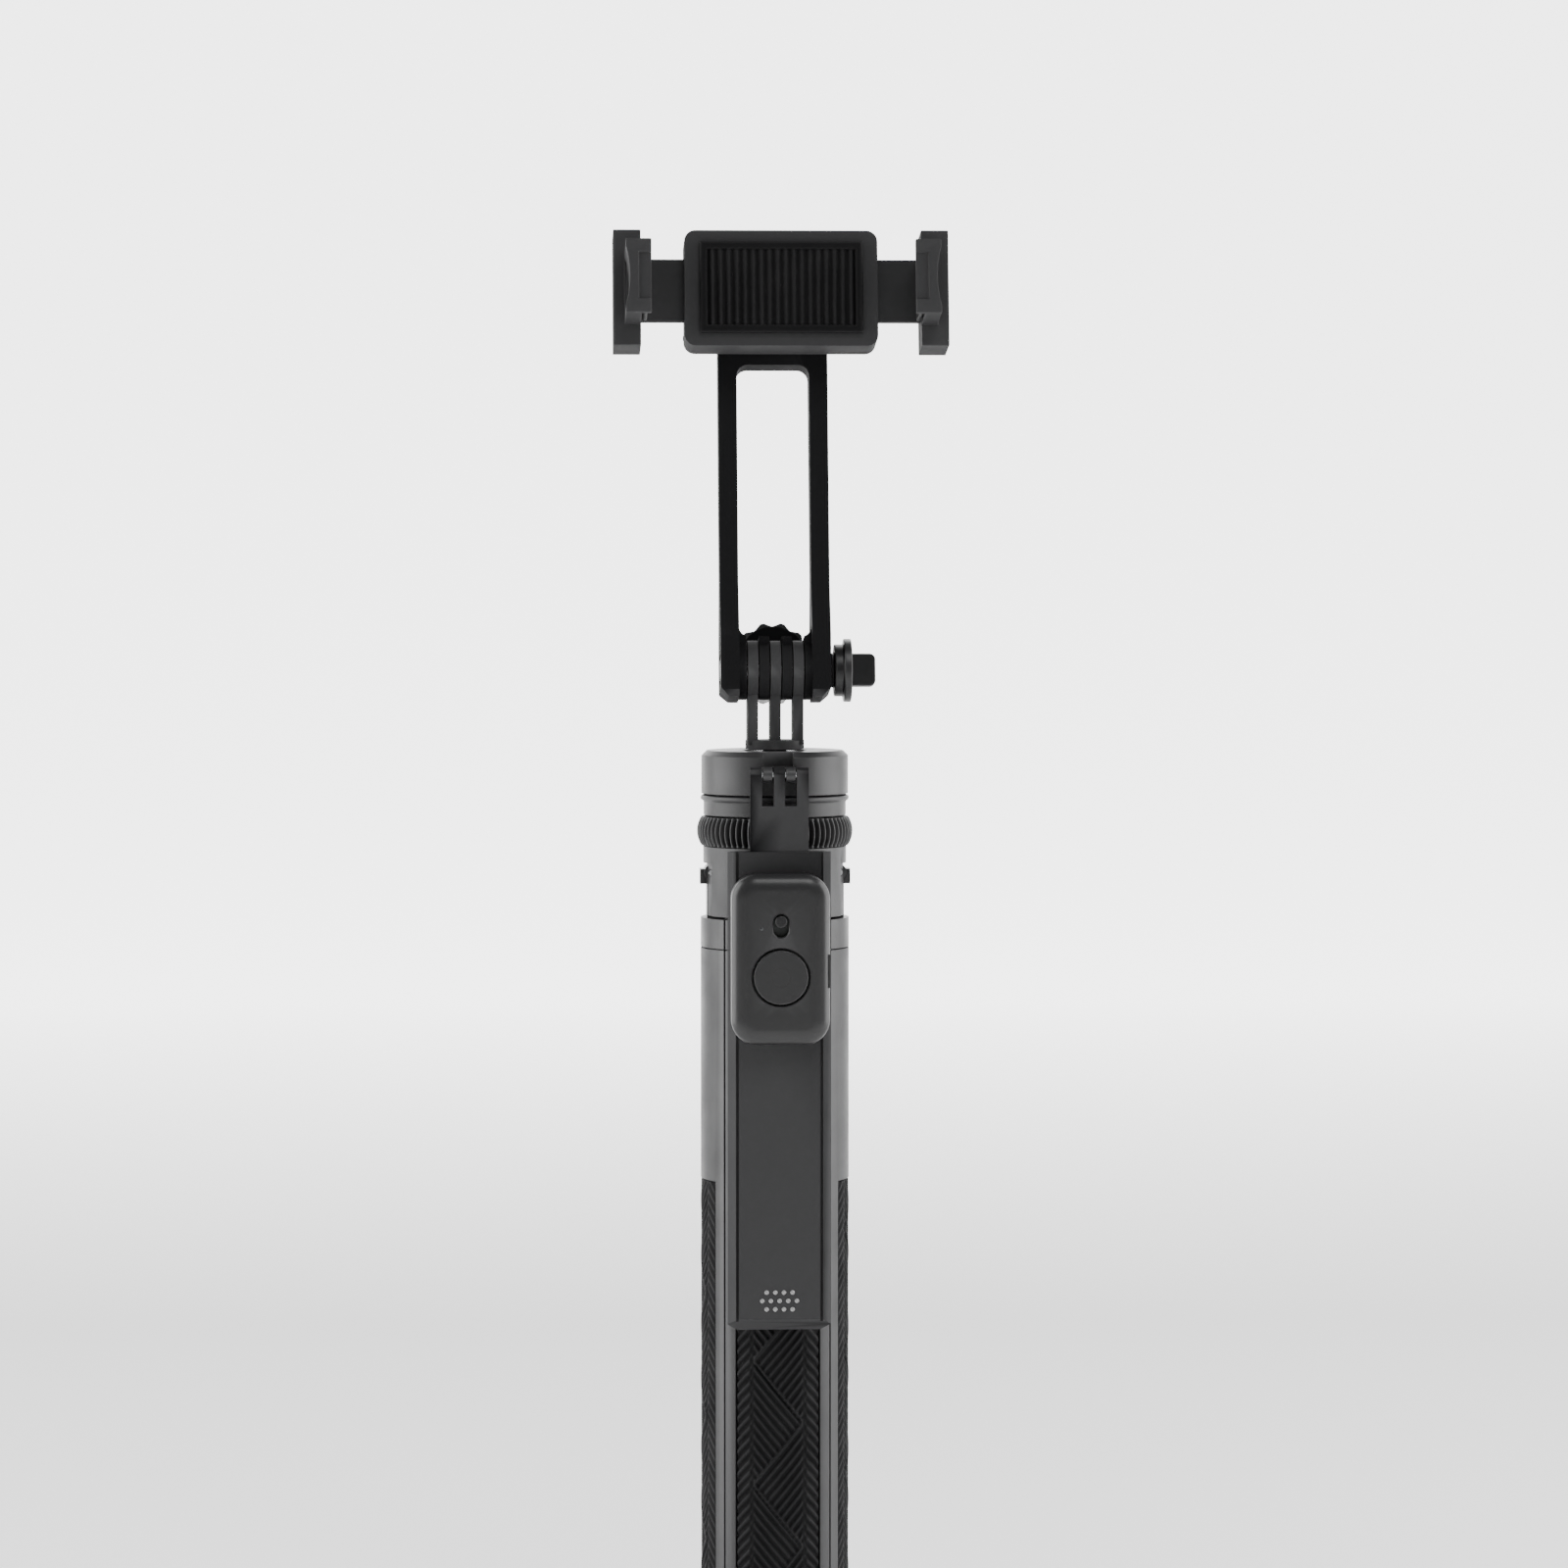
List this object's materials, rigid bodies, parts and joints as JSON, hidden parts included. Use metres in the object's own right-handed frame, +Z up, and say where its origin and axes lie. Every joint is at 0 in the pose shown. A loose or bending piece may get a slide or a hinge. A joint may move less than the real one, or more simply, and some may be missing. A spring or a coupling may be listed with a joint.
{
  "type": "selfie stick",
  "caption": "Telescopic selfie stick whose handle splits into leg stands, with a forked tilt head, a turning spring phone clamp and a hinged dock arm for a remote.",
  "frame": {"origin": "on the pole's axis, level with the closed feet", "axes": "+Z up along the pole, -Y the front that the remote and the phone face, +X towards the tilt screw"},
  "size_m": [0.0902, 0.0659, 0.3977],
  "materials": {
    "body_plastic": "fine satin",
    "dark_plastic": "satin",
    "grip_rubber": "matte, moulded pattern",
    "tube_aluminium": "dark anodised",
    "pole_steel": "drawn and polished",
    "steel": "bright",
    "spring_steel": "drawn wire",
    "remote_plastic": "soft satin",
    "board": "solder mask",
    "lens": "clear lens"
  },
  "bodies": {
    "handle": {"leg_hub": "dark_plastic", "collar_band": "body_plastic", "top_cap": "body_plastic", "pole_end_plug": "dark_plastic", "pole_outer_tube": "tube_aluminium", "dock_hinge_pin": "steel", "front_leg_pin": "steel", "right_leg_pin": "steel", "back_leg_pin": "steel", "left_leg_pin": "steel"},
    "lock_ring": {"lock_ring": "dark_plastic"},
    "front_leg": {"front_leg_shell": "body_plastic", "front_leg_grip": "grip_rubber", "front_leg_foot": "grip_rubber", "front_leg_bracket": "dark_plastic"},
    "right_leg": {"right_leg_shell": "body_plastic", "right_leg_grip": "grip_rubber", "right_leg_foot": "grip_rubber", "right_leg_bracket": "dark_plastic"},
    "back_leg": {"back_leg_shell": "body_plastic", "back_leg_grip": "grip_rubber", "back_leg_foot": "grip_rubber", "back_leg_bracket": "dark_plastic"},
    "left_leg": {"left_leg_shell": "body_plastic", "left_leg_grip": "grip_rubber", "left_leg_foot": "grip_rubber", "left_leg_bracket": "dark_plastic"},
    "section_2": {"pole_section_2": "pole_steel"},
    "section_3": {"pole_section_3": "pole_steel"},
    "section_4": {"pole_section_4": "pole_steel"},
    "section_5": {"pole_section_5": "pole_steel"},
    "section_6": {"pole_section_6": "pole_steel"},
    "head": {"head_fork": "body_plastic"},
    "yoke": {"yoke": "body_plastic", "tilt_nut": "steel"},
    "tilt_screw": {"tilt_bolt": "steel", "tilt_knob": "dark_plastic"},
    "rear_knob": {"rear_lock_knob": "dark_plastic"},
    "clamp": {"swivel_bolt": "steel", "swivel_washer": "dark_plastic", "swivel_cap": "dark_plastic", "clamp_front": "body_plastic", "clamp_back": "body_plastic", "clamp_pad": "grip_rubber", "fixed_jaw": "body_plastic", "fixed_jaw_pad": "grip_rubber", "clamp_spring_upper": "spring_steel", "clamp_spring_lower": "spring_steel", "clamp_screw_left": "steel", "clamp_screw_right": "steel"},
    "jaw": {"moving_jaw": "body_plastic", "moving_jaw_pad": "grip_rubber"},
    "dock": {"dock_arm": "body_plastic"},
    "remote": {"remote_back_shell": "remote_plastic", "remote_front_shell": "remote_plastic", "circuit_board": "board", "coin_cell": "steel", "led_lens": "lens"},
    "shutter": {"shutter_button": "remote_plastic"},
    "switch": {"power_switch": "dark_plastic"}
  },
  "joints": [
    {"name": "lock_ring_turn", "type": "hinge", "parent": "handle", "child": "lock_ring", "pos_m": [0, 0, 0.23625], "axis": [0, 0, 1], "range_deg": [0, 60]},
    {"name": "front_leg_open", "type": "hinge", "parent": "handle", "child": "front_leg", "pos_m": [0, -0.0169, 0.2252], "axis": [-1, 0, 0], "range_deg": [0, 25]},
    {"name": "right_leg_open", "type": "hinge", "parent": "handle", "child": "right_leg", "pos_m": [0.0169, 0, 0.2252], "axis": [0, -1, 0], "range_deg": [0, 25]},
    {"name": "back_leg_open", "type": "hinge", "parent": "handle", "child": "back_leg", "pos_m": [0, 0.0169, 0.2252], "axis": [1, 0, 0], "range_deg": [0, 25]},
    {"name": "left_leg_open", "type": "hinge", "parent": "handle", "child": "left_leg", "pos_m": [-0.0169, 0, 0.2252], "axis": [0, 1, 0], "range_deg": [0, 25]},
    {"name": "section_2_slide", "type": "slide", "parent": "handle", "child": "section_2", "axis": [0, 0, 1], "range_m": [0, 0.19]},
    {"name": "section_3_slide", "type": "slide", "parent": "section_2", "child": "section_3", "axis": [0, 0, 1], "range_m": [0, 0.19]},
    {"name": "section_4_slide", "type": "slide", "parent": "section_3", "child": "section_4", "axis": [0, 0, 1], "range_m": [0, 0.19]},
    {"name": "section_5_slide", "type": "slide", "parent": "section_4", "child": "section_5", "axis": [0, 0, 1], "range_m": [0, 0.19]},
    {"name": "section_6_slide", "type": "slide", "parent": "section_5", "child": "section_6", "axis": [0, 0, 1], "range_m": [0, 0.19]},
    {"name": "head_pan", "type": "hinge", "parent": "section_6", "child": "head", "pos_m": [0, 0, 0.2594], "axis": [0, 0, 1], "continuous": true},
    {"name": "head_tilt", "type": "hinge", "parent": "head", "child": "yoke", "pos_m": [0, 0, 0.2793], "axis": [-1, 0, 0], "range_deg": [-110, 8]},
    {"name": "tilt_screw_turn", "type": "hinge", "parent": "yoke", "child": "tilt_screw", "pos_m": [0.02, 0, 0.2793], "axis": [1, 0, 0], "continuous": true},
    {"name": "rear_knob_turn", "type": "hinge", "parent": "yoke", "child": "rear_knob", "pos_m": [0, 0.01599, 0.28075], "axis": [0, 0.9848, -0.1736], "continuous": true},
    {"name": "clamp_swivel", "type": "hinge", "parent": "yoke", "child": "clamp", "pos_m": [0, 0.01759, 0.37906], "axis": [0, 0.9848, -0.1736], "continuous": true},
    {"name": "jaw_slide", "type": "slide", "parent": "clamp", "child": "jaw", "axis": [1, 0, 0], "range_m": [-0.0095, 0.014], "stiffness_N_per_m": 250, "deforming": ["clamp_spring_upper", "clamp_spring_lower"]},
    {"name": "dock_open", "type": "hinge", "parent": "handle", "child": "dock", "pos_m": [0, -0.023, 0.2521], "axis": [-1, 0, 0], "range_deg": [0, 110]},
    {"name": "remote_slide", "type": "slide", "parent": "dock", "child": "remote", "axis": [0, 0, -1], "range_m": [0, 0.072]},
    {"name": "shutter_press", "type": "slide", "parent": "remote", "child": "shutter", "axis": [0, 1, 0], "range_m": [0, 0.0005], "stiffness_N_per_m": 1000, "springref_m": -0.001},
    {"name": "switch_slide", "type": "slide", "parent": "remote", "child": "switch", "axis": [0, 0, -1], "range_m": [0, 0.0022]}
  ],
  "couplings": [
    {"joint": "front_leg_open", "follows": "dock_open", "ratio": 0.227}
  ]
}
